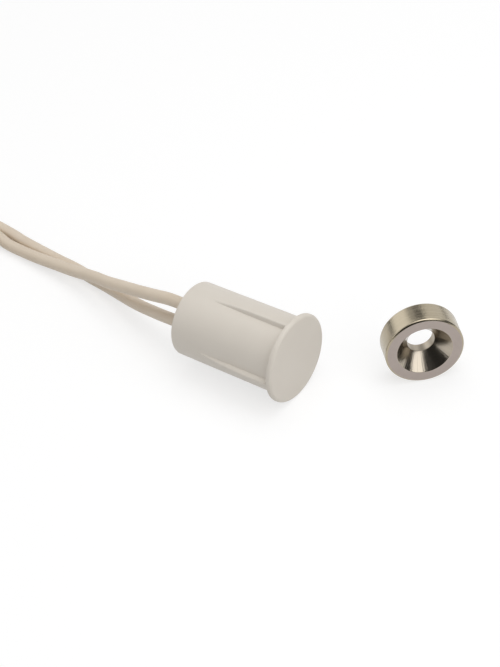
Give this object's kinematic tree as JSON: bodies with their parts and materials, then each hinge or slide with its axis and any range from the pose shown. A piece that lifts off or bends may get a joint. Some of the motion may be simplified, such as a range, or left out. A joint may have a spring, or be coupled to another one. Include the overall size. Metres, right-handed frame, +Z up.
{
  "type": "recessed magnetic contact",
  "caption": "Recessed magnetic contact: flanged press-in barrel with tapered crush ribs and a reed switch potted inside, insulated leads, and a countersunk ring magnet.",
  "frame": {"origin": "centre of the flange's outer face, which the magnet faces when the door is closed", "axes": "+X out of the flange's face along the barrel's axis, with the barrel behind it; +Z up, with the flange's rim resting on the table below"},
  "size_m": [0.0932, 0.0365, 0.011],
  "materials": {
    "housing_plastic": "fine moulded satin, off-white",
    "epoxy": "smooth cast",
    "capsule_glass": "clear, slightly green",
    "reed_alloy": "drawn",
    "solder": "bright",
    "tinned_copper": "tinned",
    "lead_insulation": "satin, cream",
    "tie_plastic": "satin",
    "nickel_plating": "bright plated"
  },
  "bodies": {
    "switch": {"housing": "housing_plastic", "potting_plug": "epoxy", "reed_glass": "capsule_glass", "reed_lead_front": "reed_alloy", "reed_lead_rear": "reed_alloy", "solder_joint_a": "solder", "solder_joint_b": "solder", "core_a": "tinned_copper", "core_b": "tinned_copper", "lead_a": "lead_insulation", "lead_b": "lead_insulation", "lead_coil": "lead_insulation", "coil_tie": "tie_plastic", "lead_tail_a": "lead_insulation", "lead_tail_b": "lead_insulation", "core_end_a": "tinned_copper", "core_end_b": "tinned_copper", "magnet": "nickel_plating"},
    "reed_front": {"reed_blade_front": "reed_alloy"},
    "reed_rear": {"reed_blade_rear": "reed_alloy"}
  },
  "joints": [
    {"name": "reed_front_flex", "type": "hinge", "parent": "switch", "child": "reed_front", "pos_m": [-0.0045, 0, 0.00162], "axis": [0, -1, 0], "range_deg": [0, 1.1], "stiffness_Nm_per_rad": 0.04},
    {"name": "reed_rear_flex", "type": "hinge", "parent": "switch", "child": "reed_rear", "pos_m": [-0.0095, 0, 0.00137], "axis": [0, -1, 0], "range_deg": [0, 1.1], "stiffness_Nm_per_rad": 0.04}
  ]
}
